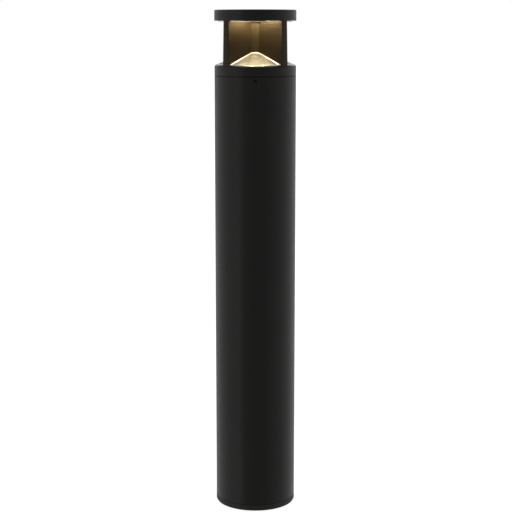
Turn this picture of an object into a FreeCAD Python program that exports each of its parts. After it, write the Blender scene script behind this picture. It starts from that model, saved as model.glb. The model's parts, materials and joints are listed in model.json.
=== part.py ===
import FreeCAD, Part
import math
import os

import Sketcher

# Bollard light: a round tube on an anchor flange, with a four-window lamp head.
# Millimetres, +Z up, origin in the middle of the foot. The front window faces -Y.

Vector = FreeCAD.Vector
Rotation = FreeCAD.Rotation
Placement = FreeCAD.Placement

UP = Vector(0, 0, 1)
DOWN = Vector(0, 0, -1)
FRONT = Vector(0, -1, 0)
FULL_TURN = 360
DIAGONAL = 45

doc = FreeCAD.newDocument("bollard_light")
sheet = doc.addObject("Spreadsheet::Sheet", "Dims")

DRIVING = {
    # whole bollard
    "total_height": 995, "tube_radius": 80, "tube_wall": 5, "spigot_gap": 0.5, "edge_break": 0.7,
    # foot
    "pad_thickness": 2, "flange_top": 12, "foot_seam": 0.3, "base_ring_height": 48, "spigot_wall": 6.5,
    "cable_entry_radius": 25, "anchor_circle_radius": 55, "anchor_hole_radius": 5.5,
    # head
    "cap_thickness": 21, "window_height": 86.3, "ring_height": 19.4, "joint_gap": 0.5,
    "head_spigot_depth": 45, "floor_thickness": 6, "plate_foot": 18, "plate_top": 13.5,
    "plate_setback": 0.1, "post_foot": 39, "post_top": 34.5,
    "lead_bore_radius": 6, "seal_groove_drop": 30, "seal_section_radius": 1.45, "seal_groove_depth": 2.7,
    "reflector_radius": 79, "reflector_rim": 1.6, "reflector_height": 25.9, "reflector_skin": 2.7,
    "reflector_gap": 0.2, "reflector_boss_at": 50, "reflector_boss_radius": 4.5,
    # lamp space in the cap
    "lens_radius": 72, "lens_hole_radius": 27, "lens_thickness": 4, "lens_drop": 2,
    "gasket_thickness": 1.5, "gasket_width": 5.5, "cavity_radius": 65, "cavity_top_wall": 6.5,
    "boss_radius": 25, "boss_collar_radius": 31, "boss_bore_radius": 7, "wire_slot_width": 8,
    "board_radius": 62, "board_hole_radius": 32, "board_thickness": 1.6, "thermal_pad": 0.5,
    "chip_side": 3.5, "chip_height": 1.2, "chip_circle_radius": 46, "board_screw_at": 45,
    "cap_bolt_spacing": 11, "cap_bolt_radius": 2.5,
    # set screws
    "set_screw_radius": 2.95, "set_screw_length": 4, "set_screw_drop": 7.2, "base_screw_height": 34,
    "tapped_play": 0.05,
    # gear tray and what it carries
    "tray_front": 16, "tray_thickness": 2, "tray_width": 100, "tray_leg_width": 44, "tray_shoulder": 66,
    "tray_top": 372, "tray_corner": 12, "tray_edge_depth": 12, "tray_foot_depth": 26, "tray_screw_x": 12,
    "tray_screw_y": 34, "box_bottom": 75, "box_height": 90, "box_width": 84, "box_depth": 37,
    "box_wall": 2.5, "box_lid": 3, "box_seal_thickness": 1, "driver_bottom": 180, "driver_height": 160,
    "driver_width": 46, "driver_depth": 32, "lead_radius": 3, "link_lead_radius": 3.5,
    "socket_radius": 10, "socket_neck_radius": 8.5, "socket_flange_radius": 13, "plug_radius": 7.2,
    "plug_play": 0.3, "plug_body_radius": 10, "earth_screw_at": 50, "earth_wire_radius": 1.5,
    "earth_wire_bend": 12, "earth_wire_x": 22,
}


class Size:
    """A length: its value in millimetres and the sheet formula that gives it."""

    def __init__(self, value, formula):
        self.value = value
        self.formula = formula

    def __add__(self, other):
        other = as_size(other)
        return Size(self.value + other.value, f"({self.formula} + {other.formula})")

    def __sub__(self, other):
        other = as_size(other)
        return Size(self.value - other.value, f"({self.formula} - {other.formula})")

    def __mul__(self, other):
        other = as_size(other)
        return Size(self.value * other.value, f"({self.formula} * {other.formula})")

    def __truediv__(self, other):
        other = as_size(other)
        return Size(self.value / other.value, f"({self.formula} / {other.formula})")

    def __radd__(self, other):
        return as_size(other) + self

    def __rsub__(self, other):
        return as_size(other) - self

    def __rmul__(self, other):
        return as_size(other) * self

    def __neg__(self):
        return Size(-self.value, f"(0 - {self.formula})")


def as_size(number):
    if isinstance(number, Size):
        return number
    return Size(float(number), f"({float(number):.6f})")


def fill_sheet():
    """Writes each driving dimension to its own cell, beside its name."""
    for row, (name, value) in enumerate(DRIVING.items(), start=1):
        sheet.set(f"A{row}", name)
        sheet.set(f"B{row}", str(value))
        sheet.setAlias(f"B{row}", name)
    doc.recompute()


def dim(name):
    """A driving dimension, as the sheet holds it."""
    return Size(float(sheet.get(name)), f"Dims.{name}")


def bind(thing, path, size):
    thing.setExpression(path, as_size(size).formula)


def put(thing, at, rotation=None):
    """Places an object at a point of sizes, turned by a rotation."""
    if rotation is not None:
        thing.Placement = Placement(Vector(), rotation)
    for axis, size in zip("xyz", at):
        bind(thing, f"Placement.Base.{axis}", size)
    return thing


def polar(radius, angle):
    """The point at a radius, at an angle in degrees round from the front towards the right."""
    turn = math.radians(angle)
    return (as_size(radius) * math.sin(turn), -(as_size(radius) * math.cos(turn)))


def outward(angle):
    turn = math.radians(angle)
    return Vector(math.sin(turn), -math.cos(turn), 0)


# ---- PartDesign helpers -------------------------------------------------------------------------

def new_body(label):
    body = doc.addObject("PartDesign::Body", label)
    body.Label = label
    return body


def origin_feature(body, role):
    return next(f for f in body.Origin.OriginFeatures if f.Role == role)


def new_sketch(body, plane, lift=0, turn=0):
    """A sketch on one of the body's own planes, lifted along the normal and turned about it."""
    sketch = body.newObject("Sketcher::SketchObject", f"{body.Label}_sketch")
    sketch.AttachmentSupport = [(origin_feature(body, plane), "")]
    sketch.MapMode = "FlatFace"
    sketch.AttachmentOffset = Placement(Vector(), Rotation(UP, turn))
    bind(sketch, "AttachmentOffset.Base.z", lift)
    return sketch


def fix_point(sketch, line, point):
    """Holds a line's first point at a place given by two sizes."""
    for kind, size in zip(("DistanceX", "DistanceY"), point):
        size = as_size(size)
        number = sketch.addConstraint(Sketcher.Constraint(kind, -1, 1, line, 1, size.value))
        sketch.setExpression(f"Constraints[{number}]", size.formula)


def outline(sketch, points):
    """Draws a closed outline of straight lines through points given by sizes."""
    flat = [Vector(as_size(x).value, as_size(y).value, 0) for x, y in points]
    lines = []
    for start, end in zip(flat, flat[1:] + flat[:1]):
        lines.append(sketch.addGeometry(Part.LineSegment(start, end)))
    for line, following in zip(lines, lines[1:] + lines[:1]):
        sketch.addConstraint(Sketcher.Constraint("Coincident", line, 2, following, 1))
    for line, point in zip(lines, points):
        fix_point(sketch, line, point)
    return sketch


def rectangle(sketch, low_x, low_y, high_x, high_y):
    corners = [(low_x, low_y), (high_x, low_y), (high_x, high_y), (low_x, high_y)]
    return outline(sketch, corners)


def turned(body, points, kind="Revolution"):
    """Turns an outline of (radius, height) points about Z, as a solid or as a cut (Groove)."""
    sketch = outline(new_sketch(body, "XZ_Plane"), points)
    feature = body.newObject(f"PartDesign::{kind}", f"{body.Label}_{kind.lower()}")
    feature.Profile = sketch
    feature.ReferenceAxis = (sketch, ["V_Axis"])
    feature.Angle = FULL_TURN
    return feature


def padded(body, sketch, length, reverse=False):
    feature = body.newObject("PartDesign::Pad", f"{body.Label}_pad")
    feature.Profile = sketch
    bind(feature, "Length", length)
    feature.Reversed = reverse
    return feature


def body_cylinder(body, kind, radius, height, at, direction=UP):
    """Adds (kind Additive) or cuts (kind Subtractive) a cylinder that starts at a point."""
    feature = body.newObject(f"PartDesign::{kind}Cylinder", f"{body.Label}_{kind.lower()}")
    bind(feature, "Radius", radius)
    bind(feature, "Height", height)
    return put(feature, at, Rotation(UP, direction))


def body_box(body, kind, low, high):
    """Adds or cuts a box between two corners given by sizes."""
    feature = body.newObject(f"PartDesign::{kind}Box", f"{body.Label}_{kind.lower()}")
    for name, first, last in zip(("Length", "Width", "Height"), low, high):
        bind(feature, name, as_size(last) - first)
    return put(feature, low)


def drill(body, radius, depth, at, direction=UP):
    return body_cylinder(body, "Subtractive", radius, depth, at, direction)


def pattern_round(body, features, count):
    """Repeats features evenly about Z."""
    pattern = body.newObject("PartDesign::PolarPattern", f"{body.Label}_pattern")
    pattern.Originals = features
    pattern.Axis = (origin_feature(body, "Z_Axis"), [""])
    pattern.Angle = FULL_TURN
    pattern.Occurrences = count
    body.Tip = pattern
    return pattern


def rounded(body, radius, wanted):
    """Fillets those edges of the body's last shape for which wanted(edge) is true."""
    doc.recompute()
    base = body.Tip
    names = [f"Edge{i}" for i, edge in enumerate(base.Shape.Edges, start=1) if wanted(edge)]
    feature = body.newObject("PartDesign::Fillet", f"{body.Label}_fillet")
    feature.Base = (base, names)
    bind(feature, "Radius", radius)
    return feature


def is_upright(edge):
    """True for an edge whose ends lie one above the other, give or take the draft."""
    ends = [vertex.Point for vertex in edge.Vertexes]
    if len(ends) < 2:
        return False
    run = ends[1] - ends[0]
    return abs(run.z) > 0.9 * run.Length


# ---- Part helpers -------------------------------------------------------------------------------

def cylinder(radius, height, at=(0, 0, 0), direction=UP):
    solid = doc.addObject("Part::Cylinder", "round")
    bind(solid, "Radius", radius)
    bind(solid, "Height", height)
    return put(solid, at, Rotation(UP, direction))


def cone(low_radius, high_radius, height, at=(0, 0, 0), direction=UP):
    solid = doc.addObject("Part::Cone", "taper")
    bind(solid, "Radius1", low_radius)
    bind(solid, "Radius2", high_radius)
    bind(solid, "Height", height)
    return put(solid, at, Rotation(UP, direction))


def block(low, high):
    solid = doc.addObject("Part::Box", "block")
    for name, first, last in zip(("Length", "Width", "Height"), low, high):
        bind(solid, name, as_size(last) - first)
    return put(solid, low)


def hexagon(across_flats, height, at=(0, 0, 0), direction=UP):
    solid = doc.addObject("Part::Prism", "hexagon")
    solid.Polygon = 6
    bind(solid, "Circumradius", as_size(across_flats) / math.sqrt(3))
    bind(solid, "Height", height)
    return put(solid, at, Rotation(UP, direction))


def cut(base, tool):
    made = doc.addObject("Part::Cut", "cut")
    made.Base = base
    made.Tool = tool
    return made


def fused(*solids):
    made = doc.addObject("Part::MultiFuse", "fused")
    made.Shapes = list(solids)
    made.Refine = True
    return made


def group(label, solids):
    """Several separate solids under one name."""
    made = doc.addObject("Part::Compound", label)
    made.Links = solids
    made.Label = label
    return made


def named(solid, label):
    solid.Label = label
    return solid


def ring(label, inner, outer, low, high):
    """A flat ring about Z between two heights."""
    height = as_size(high) - low
    margin = 1
    hole = cylinder(inner, height + 2 * margin, (0, 0, as_size(low) - margin))
    return named(cut(cylinder(outer, height, (0, 0, low)), hole), label)


def socket_screw(shank_radius, length, at, direction, head_radius=0, head_height=0, socket=2.5):
    """A hexagon-socket screw: its shank runs back from a point, its head (if any) stands on it."""
    shank_radius = as_size(shank_radius)
    length = as_size(length)
    solids = cylinder(shank_radius, length, (0, 0, -length))
    top = as_size(head_height)
    if top.value > 0:
        solids = fused(solids, cylinder(head_radius, head_height))
    depth = max(top.value, length.value / 2) * 0.55
    screw = cut(solids, hexagon(socket, depth + 1, (0, 0, top - depth)))
    return put(screw, at, Rotation(UP, direction))


def pan_screw(shank_radius, length, at, direction, head_radius, head_height):
    """A pan-head screw with a crossed recess."""
    head = cone(head_radius, as_size(head_radius) * 0.8, head_height)
    screw = fused(cylinder(shank_radius, length, (0, 0, -as_size(length))), head)
    arm = as_size(head_radius) * 0.55
    half_slot = as_size(head_radius) * 0.12
    bottom = as_size(head_height) * 0.4
    above = as_size(head_height) + 1
    across = block((-arm, -half_slot, bottom), (arm, half_slot, above))
    along = block((-half_slot, -arm, bottom), (half_slot, arm, above))
    return put(cut(screw, fused(across, along)), at, Rotation(UP, direction))


# ---- Levels and radii that follow from the driving dimensions ------------------------------------

fill_sheet()

tube_radius = dim("tube_radius")
bore_radius = tube_radius - dim("tube_wall")
spigot_radius = bore_radius - dim("spigot_gap")
spigot_inner = spigot_radius - dim("spigot_wall")
edge_break = dim("edge_break")
play = dim("tapped_play")

flange_top = dim("flange_top")
tube_bottom = flange_top + dim("foot_seam")
total_height = dim("total_height")
cap_bottom = total_height - dim("cap_thickness")
ring_top = cap_bottom - dim("window_height")
ring_bottom = ring_top - dim("ring_height")
tube_top = ring_bottom - dim("joint_gap")
floor_bottom = ring_top - dim("floor_thickness")
head_spigot_bottom = ring_bottom - dim("head_spigot_depth")
seal_level = ring_bottom - dim("seal_groove_drop")

lens_bottom = cap_bottom - dim("lens_drop")
lens_top = lens_bottom + dim("lens_thickness")
gasket_top = lens_top + dim("gasket_thickness")
cavity_top = total_height - dim("cavity_top_wall")
board_top = cavity_top - dim("thermal_pad")
board_bottom = board_top - dim("board_thickness")
head_screw_level = tube_top - dim("set_screw_drop")

WINDOWS = {"front": 0, "right": 90, "back": 180, "left": 270}
HEAD_SCREW_ANGLES = (0, 120, 240)
BASE_SCREW_ANGLES = (90, 180, 270)


# ---- Foot ---------------------------------------------------------------------------------------

def make_base_pad():
    """Rubber pad between the flange and the ground."""
    body = new_body("base_pad")
    inner = dim("cable_entry_radius")
    outer = tube_radius - 1.5
    turned(body, [(inner, 0), (outer, 0), (outer, dim("pad_thickness")), (inner, dim("pad_thickness"))])
    x, y = polar(dim("anchor_circle_radius"), DIAGONAL)
    hole = drill(body, dim("anchor_hole_radius") + 1, dim("pad_thickness") + 2, (x, y, -1))
    pattern_round(body, [hole], 4)
    return body


def make_base_plate():
    """Flange with the tube's diameter."""
    body = new_body("base_plate")
    low = dim("pad_thickness")
    turned(body, [
        (dim("cable_entry_radius"), low), (tube_radius - edge_break, low), (tube_radius, low + edge_break),
        (tube_radius, flange_top - edge_break), (tube_radius - edge_break, flange_top),
        (dim("cable_entry_radius"), flange_top),
    ])
    x, y = polar(dim("anchor_circle_radius"), DIAGONAL)
    hole = drill(body, dim("anchor_hole_radius"), flange_top + 2, (x, y, 0))
    pattern_round(body, [hole], 4)
    for side in (-1, 1):
        at = (dim("tray_screw_x") * side, dim("tray_screw_y"), low + 1)
        drill(body, 2.5 + play, flange_top, at)
    drill(body, 2.5 + play, flange_top, (-dim("earth_screw_at"), 0, low + 1))
    return body


def make_base_ring():
    """Ring welded to the flange; the tube slides over it."""
    body = new_body("base_ring")
    top = flange_top + dim("base_ring_height")
    turned(body, [
        (spigot_inner, flange_top), (spigot_radius, flange_top), (spigot_radius, top - 2),
        (spigot_radius - 2, top), (spigot_inner, top),
    ])
    return body


def make_tray_screws():
    level = flange_top + dim("tray_thickness")
    screws = []
    for side in (-1, 1):
        at = (dim("tray_screw_x") * side, dim("tray_screw_y"), level)
        screws.append(pan_screw(2.5, 9, at, UP, 4.5, 3))
    return group("tray_screws", screws)


# ---- Gear tray ----------------------------------------------------------------------------------

tray_front = dim("tray_front")
tray_back = tray_front + dim("tray_thickness")
tray_top = dim("tray_top")
tray_half = dim("tray_width") / 2
tray_slope = dim("tray_corner")
box_bottom = dim("box_bottom")
box_top = box_bottom + dim("box_height")
box_half = dim("box_width") / 2
box_front = tray_front - dim("box_depth")
seal_front = box_front - dim("box_seal_thickness")
lid_front = seal_front - dim("box_lid")
driver_bottom = dim("driver_bottom")
driver_top = driver_bottom + dim("driver_height")
BOX_SCREW_INSET = 5
DRIVER_LUG = 8


def make_gear_tray():
    """Flat sheet that carries the gear."""
    body = new_body("gear_tray")
    shoulder = dim("tray_shoulder")
    sheet_thickness = dim("tray_thickness")
    # The plane's normal points to the front, so the tray's back face is at minus tray_back.
    sketch = new_sketch(body, "XZ_Plane", -tray_back)
    outline(sketch, [
        (tray_half, shoulder), (tray_half, tray_top - tray_slope), (tray_half - tray_slope, tray_top),
        (-tray_half + tray_slope, tray_top), (-tray_half, tray_top - tray_slope), (-tray_half, shoulder),
    ])
    padded(body, sketch, sheet_thickness)
    for height in box_fixing_heights():
        drill(body, 2 + play, sheet_thickness + 2, (0, tray_front - 1, height), -FRONT)
    for height in driver_fixing_heights():
        drill(body, 2 + play, sheet_thickness + 2, (0, tray_front - 1, height), -FRONT)
    return body


def make_tray_leg():
    """Strip welded under the tray's lower edge, down to the flange."""
    body = new_body("tray_leg")
    half = dim("tray_leg_width") / 2
    body_box(body, "Additive", (-half, tray_front, flange_top), (half, tray_back, dim("tray_shoulder")))
    return body


def make_tray_foot():
    """Strip welded behind the leg's lower end and screwed to the flange."""
    body = new_body("tray_foot")
    leg = dim("tray_leg_width") / 2
    top = flange_top + dim("tray_thickness")
    body_box(body, "Additive", (-leg, tray_back, flange_top), (leg, tray_back + dim("tray_foot_depth"), top))
    for side in (-1, 1):
        at = (dim("tray_screw_x") * side, dim("tray_screw_y"), flange_top - 1)
        drill(body, 2.6, dim("tray_thickness") + 2, at)
    return body


def make_tray_edges():
    """Two strips welded along the tray's back, which stiffen its long edges."""
    low = dim("tray_shoulder") + 1
    high = tray_top - tray_slope
    back = tray_back + dim("tray_edge_depth")
    right = block((tray_half - dim("tray_thickness"), tray_back, low), (tray_half, back, high))
    left = block((-tray_half, tray_back, low), (-tray_half + dim("tray_thickness"), back, high))
    return group("tray_edges", [left, right])


def make_socket_tab():
    """Level tab welded on the tray's top edge, with the hole for the lead socket."""
    body = new_body("socket_tab")
    half = dim("socket_flange_radius") + 3
    top = tray_top + dim("tray_thickness")
    body_box(body, "Additive", (-half, -half, tray_top), (half, tray_back, top))
    drill(body, dim("socket_neck_radius") + 0.2, dim("tray_thickness") + 2, (0, 0, tray_top - 1))
    return body


def box_fixing_heights():
    return (box_bottom + 14, box_top - 14)


def driver_fixing_heights():
    return (driver_bottom - DRIVER_LUG / 2, driver_top + DRIVER_LUG / 2)


def lid_screw_places():
    places = []
    for side in (-1, 1):
        for height in (box_bottom + BOX_SCREW_INSET, box_top - BOX_SCREW_INSET):
            places.append(((box_half - BOX_SCREW_INSET) * side, height))
    return places


def make_junction_box():
    """Weatherproof box, open to the front, with four screw posts in its corners."""
    body = new_body("junction_box")
    wall = dim("box_wall")
    body_box(body, "Additive", (-box_half, box_front, box_bottom), (box_half, tray_front, box_top))
    rounded(body, 4, lambda edge: abs((edge.Vertexes[1].Point - edge.Vertexes[0].Point).y) > 1)
    body_box(body, "Subtractive", (-box_half + wall, box_front - 1, box_bottom + wall),
             (box_half - wall, tray_front - wall, box_top - wall))
    for x, height in lid_screw_places():
        body_cylinder(body, "Additive", 3.5, dim("box_depth") - 0.5, (x, tray_front - 0.5, height), FRONT)
    for x, height in lid_screw_places():
        drill(body, 1.5 + play, 12, (x, box_front - 1, height), -FRONT)
    drill(body, 10 + play, wall + 2, (0, 0, box_bottom - 1))
    drill(body, 5 + play, wall + 2, (0, 0, box_top - wall - 1))
    drill(body, 3 + play, wall + 2, (-dim("earth_wire_x"), 0, box_bottom - 1))
    for height in box_fixing_heights():
        drill(body, 2 + play, wall + 2, (0, tray_front - wall - 1, height), -FRONT)
    return body


def make_box_seal():
    """Rubber frame between the box's rim and its lid."""
    body = new_body("box_seal")
    margin = dim("box_wall") - 0.5
    body_box(body, "Additive", (-box_half + 0.5, seal_front, box_bottom + 0.5),
             (box_half - 0.5, box_front, box_top - 0.5))
    rounded(body, 3.5, lambda edge: abs((edge.Vertexes[1].Point - edge.Vertexes[0].Point).y) > 0.5)
    body_box(body, "Subtractive", (-box_half + margin + 0.5, seal_front - 1, box_bottom + margin + 0.5),
             (box_half - margin - 0.5, box_front + 1, box_top - margin - 0.5))
    for x, height in lid_screw_places():
        body_cylinder(body, "Additive", 3.5, dim("box_seal_thickness"), (x, box_front, height), FRONT)
    for x, height in lid_screw_places():
        drill(body, 1.6, 4, (x, box_front + 1, height), FRONT)
    return body


def make_box_lid():
    body = new_body("box_lid")
    body_box(body, "Additive", (-box_half, lid_front, box_bottom), (box_half, seal_front, box_top))
    rounded(body, 4, lambda edge: abs((edge.Vertexes[1].Point - edge.Vertexes[0].Point).y) > 1)
    rounded(body, 1, lambda edge: edge.BoundBox.YMax < lid_front.value + 0.01)
    for x, height in lid_screw_places():
        drill(body, 1.6, 6, (x, seal_front + 1, height), FRONT)
    return body


def make_box_lid_screws():
    screws = []
    for x, height in lid_screw_places():
        screws.append(pan_screw(1.5, 12, (x, lid_front, height), FRONT, 2.9, 2))
    return group("box_lid_screws", screws)


def make_box_fixing_screws():
    """Two screws from inside the box into the tray."""
    inside = tray_front - dim("box_wall")
    return group("box_fixing_screws", [
        pan_screw(2, 6, (0, inside, height), FRONT, 3.5, 2.2) for height in box_fixing_heights()])


def terminal_places():
    middle = (box_bottom + box_top) / 2
    return [(pole * 14, middle + row * 7) for pole in (-1, 0, 1) for row in (-1, 1)]


def make_terminal_block():
    """Three-pole block, with a wire way up and down through each pole and two screws over it."""
    body = new_body("terminal_block")
    middle = (box_bottom + box_top) / 2
    back = tray_front - dim("box_wall")
    low, high = middle - 11, middle + 11
    body_box(body, "Additive", (-22, back - 18, low), (22, back, high))
    rounded(body, 1, lambda edge: edge.BoundBox.YMax < back.value - 17.9)
    for pole in (-1, 0, 1):
        drill(body, 2.6, 24, (pole * 14, back - 8, low - 1))
    for x, height in terminal_places():
        drill(body, 2.3, 10, (x, back - 18.5, height), -FRONT)
    for rib in (-1, 1):
        body_box(body, "Subtractive", (rib * 7 - 0.6, back - 19, low - 1),
                 (rib * 7 + 0.6, back - 15, high + 1))
    return body


def make_terminal_screws():
    back = tray_front - dim("box_wall")
    screws = []
    for x, height in terminal_places():
        screw = cylinder(2.2, 6, (x, back - 11, height), FRONT)
        slot = block((x - 2.5, back - 17.5, height - 0.35), (x + 2.5, back - 16, height + 0.35))
        screws.append(cut(screw, slot))
    return group("terminal_screws", screws)


def make_supply_gland():
    """Gland body: a hexagon under the box and a threaded sleeve up through its wall."""
    solid = fused(hexagon(24, 8, (0, 0, box_bottom - 8)), cylinder(10, 20, (0, 0, box_bottom - 8)),
                  cylinder(9, 10, (0, 0, box_bottom - 18)))
    return named(cut(solid, cylinder(7, 40, (0, 0, box_bottom - 20))), "supply_gland")


def make_supply_gland_locknut():
    low = box_bottom + dim("box_wall")
    return named(cut(hexagon(24, 4, (0, 0, low)), cylinder(10 + play, 8, (0, 0, low - 2))),
                 "supply_gland_locknut")


def make_supply_gland_nut():
    """Domed compression nut, open below for the cable."""
    low = box_bottom - 26
    solid = fused(hexagon(22, 12, (0, 0, low + 5)), cone(8, 10.5, 5, (0, 0, low)))
    hollow = fused(cylinder(9 + play, 20, (0, 0, low + 6)), cylinder(6.5, 20, (0, 0, low - 1)))
    return named(cut(solid, hollow), "supply_gland_nut")


def make_supply_gland_seal():
    low = box_bottom - 19.5
    return ring("supply_gland_seal", 5, 6.9, low, low + 10)


def make_link_grommet():
    low = box_top - dim("box_wall")
    solid = fused(cylinder(5, 5, (0, 0, low)), cylinder(7.5, 2.5, (0, 0, box_top)))
    return named(cut(solid, cylinder(dim("link_lead_radius") + play, 12, (0, 0, low - 2))), "link_grommet")


def make_link_lead():
    """Lead from the box up to the driver."""
    low = box_top - 12
    return named(cylinder(dim("link_lead_radius"), driver_bottom - low, (0, 0, low)), "link_lead")


def make_driver_case():
    """Potted LED driver with a screw lug at each end."""
    body = new_body("driver_case")
    half = dim("driver_width") / 2
    back = tray_front
    front = back - dim("driver_depth")
    body_box(body, "Additive", (-half, front, driver_bottom), (half, back, driver_top))
    rounded(body, 3, lambda edge: edge.BoundBox.YMax < front.value + 0.01 or
            (is_upright(edge) and edge.BoundBox.YMax < 0))
    body_box(body, "Additive", (-10, back - 3, driver_bottom - DRIVER_LUG),
             (10, back, driver_top + DRIVER_LUG))
    for height in driver_fixing_heights():
        drill(body, 2.1, 6, (0, back - 4, height), -FRONT)
    return body


def make_driver_screws():
    return group("driver_screws", [
        pan_screw(2, 7, (0, tray_front - 3, height), FRONT, 3.5, 2.2) for height in driver_fixing_heights()])


socket_top = tray_top + 20


def make_output_lead():
    """Lead from the driver's top into the socket's underside."""
    return named(cylinder(dim("lead_radius"), tray_top - 16 - driver_top, (0, 0, driver_top)), "output_lead")


def make_lead_socket():
    """Round panel socket on the tray's tab, open at the top for the head's plug."""
    flange = tray_top + dim("tray_thickness")
    solid = fused(cylinder(dim("socket_neck_radius"), 20, (0, 0, tray_top - 16)),
                  cylinder(dim("socket_flange_radius"), 3, (0, 0, flange)),
                  cylinder(dim("socket_radius"), socket_top - flange, (0, 0, flange)))
    mouth = cylinder(dim("plug_radius") + dim("plug_play"), 30, (0, 0, tray_top))
    return named(cut(solid, mouth), "lead_socket")


def make_socket_nut():
    hole = cylinder(dim("socket_neck_radius") + play, 8, (0, 0, tray_top - 6))
    return named(cut(hexagon(22, 4, (0, 0, tray_top - 4)), hole), "socket_nut")


def make_earth_screw():
    shank = cylinder(2.5, 9, (-dim("earth_screw_at"), 0, flange_top - 7.5))
    head = hexagon(8, 3.5, (-dim("earth_screw_at"), 0, flange_top + 1.5))
    return named(fused(shank, head), "earth_screw")


def make_earth_tag():
    """Ring terminal with a crimped barrel."""
    x = -dim("earth_screw_at")
    barrel_start = x + 5
    eye = cut(cylinder(5.5, 1.5, (x, 0, flange_top)), cylinder(2.5 + play, 5, (x, 0, flange_top - 1)))
    barrel = cylinder(2.6, 9, (barrel_start, 0, earth_wire_level()), Vector(1, 0, 0))
    wire_hole = cylinder(dim("earth_wire_radius") + play, 8, (barrel_start + 4, 0, earth_wire_level()),
                         Vector(1, 0, 0))
    screw_room = cylinder(5.2, 6, (x, 0, flange_top + 1.5))
    return named(cut(fused(eye, barrel), fused(wire_hole, screw_room)), "earth_tag")


def earth_wire_level():
    return flange_top + 2.7


def quarter_bend(wire_radius, bend_radius, centre, rotation):
    """A quarter of a torus: it starts on the centre's local +X side and turns towards local +Y."""
    bend = doc.addObject("Part::Torus", "bend")
    bind(bend, "Radius1", bend_radius)
    bind(bend, "Radius2", wire_radius)
    bend.Angle3 = 90
    return put(bend, centre, rotation)


def make_earth_lead():
    """Earth wire: in from the tag's barrel, round one bend, and up into the box."""
    radius = dim("earth_wire_radius")
    bend = dim("earth_wire_bend")
    level = earth_wire_level()
    start = -dim("earth_screw_at") + 9
    centre_x = -dim("earth_wire_x") - bend
    # The bend stands upright: it starts low, in line with the barrel, and ends going up.
    upright = Rotation(Vector(1, 0, 0), 90) * Rotation(UP, -90)
    flat_run = cylinder(radius, centre_x - start, (start, 0, level), Vector(1, 0, 0))
    curve = quarter_bend(radius, bend, (centre_x, 0, level + bend), upright)
    rise = cylinder(radius, box_bottom + 12 - level - bend, (-dim("earth_wire_x"), 0, level + bend))
    return named(fused(flat_run, curve, rise), "earth_lead")


def make_earth_grommet():
    x = -dim("earth_wire_x")
    solid = fused(cylinder(3, 4, (x, 0, box_bottom - 1)), cylinder(4.5, 2, (x, 0, box_bottom - 2)))
    return named(cut(solid, cylinder(dim("earth_wire_radius") + play, 12, (x, 0, box_bottom - 4))),
                 "earth_grommet")


# ---- Tube ---------------------------------------------------------------------------------------

def screw_holes(body, level, angles):
    """Tapped holes through the tube's wall, each with a shallow spot face."""
    for angle in angles:
        for radius, depth in ((dim("set_screw_radius") + play, dim("tube_wall") + 4), (3.7, 2.5)):
            x, y = polar(tube_radius + 2, angle)
            drill(body, radius, depth, (x, y, level), -outward(angle))


def make_body_tube():
    body = new_body("body_tube")
    turned(body, [
        (bore_radius, tube_bottom), (tube_radius - edge_break / 2, tube_bottom),
        (tube_radius, tube_bottom + edge_break / 2), (tube_radius, tube_top - edge_break),
        (tube_radius - edge_break, tube_top), (bore_radius, tube_top),
    ])
    screw_holes(body, head_screw_level, HEAD_SCREW_ANGLES)
    screw_holes(body, dim("base_screw_height"), BASE_SCREW_ANGLES)
    return body


def set_screws(label, level, angles):
    """Headless socket screws, flush with the tube and just short of the spigot."""
    screws = []
    for angle in angles:
        x, y = polar(spigot_radius + 0.3 + dim("set_screw_length"), angle)
        screws.append(socket_screw(dim("set_screw_radius"), dim("set_screw_length"), (x, y, level),
                                   outward(angle), socket=3))
    return group(label, screws)


# ---- Head ---------------------------------------------------------------------------------------

def make_head_seal():
    """O-ring between the head's spigot and the tube."""
    seal = doc.addObject("Part::Torus", "head_seal")
    section = dim("seal_section_radius")
    bind(seal, "Radius1", bore_radius - 0.1 - section)
    bind(seal, "Radius2", section)
    return named(put(seal, (0, 0, seal_level)), "head_seal")


def make_light_baffle():
    """Casting with draft: two crossing plates and a square post that carry the cap."""
    body = new_body("light_baffle")
    reach = tube_radius + 6
    end_radius = tube_radius - dim("plate_setback")
    for turn in (DIAGONAL, -DIAGONAL):
        tapered(body, turn, (reach, reach), (dim("plate_foot") / 2, dim("plate_top") / 2))
    turned(body, [(end_radius, ring_top - 1), (reach + 20, ring_top - 1), (reach + 20, cap_bottom + 1),
                  (end_radius, cap_bottom + 1)], "Groove")
    rounded(body, 1.2, is_plate_end)
    post_halves = (dim("post_foot") / 2, dim("post_top") / 2)
    tapered(body, 0, post_halves, post_halves)
    lens_room = dim("lens_hole_radius") - 1
    turned(body, [(lens_room, lens_bottom), (dim("lens_radius") + 0.6, lens_bottom),
                  (dim("lens_radius") + 0.6, cap_bottom + 1), (lens_room, cap_bottom + 1)], "Groove")
    turned(body, [(7.4, cap_bottom - 1.5), (9.8, cap_bottom - 1.5), (9.8, cap_bottom + 1),
                  (7.4, cap_bottom + 1)], "Groove")
    drill(body, dim("lead_bore_radius"), dim("window_height") + 4, (0, 0, ring_top - 2))
    drill_bolt_holes(body, ring_top - 2, dim("window_height") + 4)
    return body


def tapered(body, turn, half_lengths, half_widths):
    """A block that stands on the head's base and narrows up to the cap, centred on the axis."""
    levels = (ring_top, cap_bottom)
    sketches = []
    for level, half_length, half_width in zip(levels, half_lengths, half_widths):
        sketch = new_sketch(body, "XY_Plane", level, turn)
        rectangle(sketch, -half_length, -half_width, half_length, half_width)
        sketches.append(sketch)
    loft = body.newObject("PartDesign::AdditiveLoft", f"{body.Label}_block")
    loft.Profile = sketches[0]
    loft.Sections = sketches[1:]
    loft.Ruled = True


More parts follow.
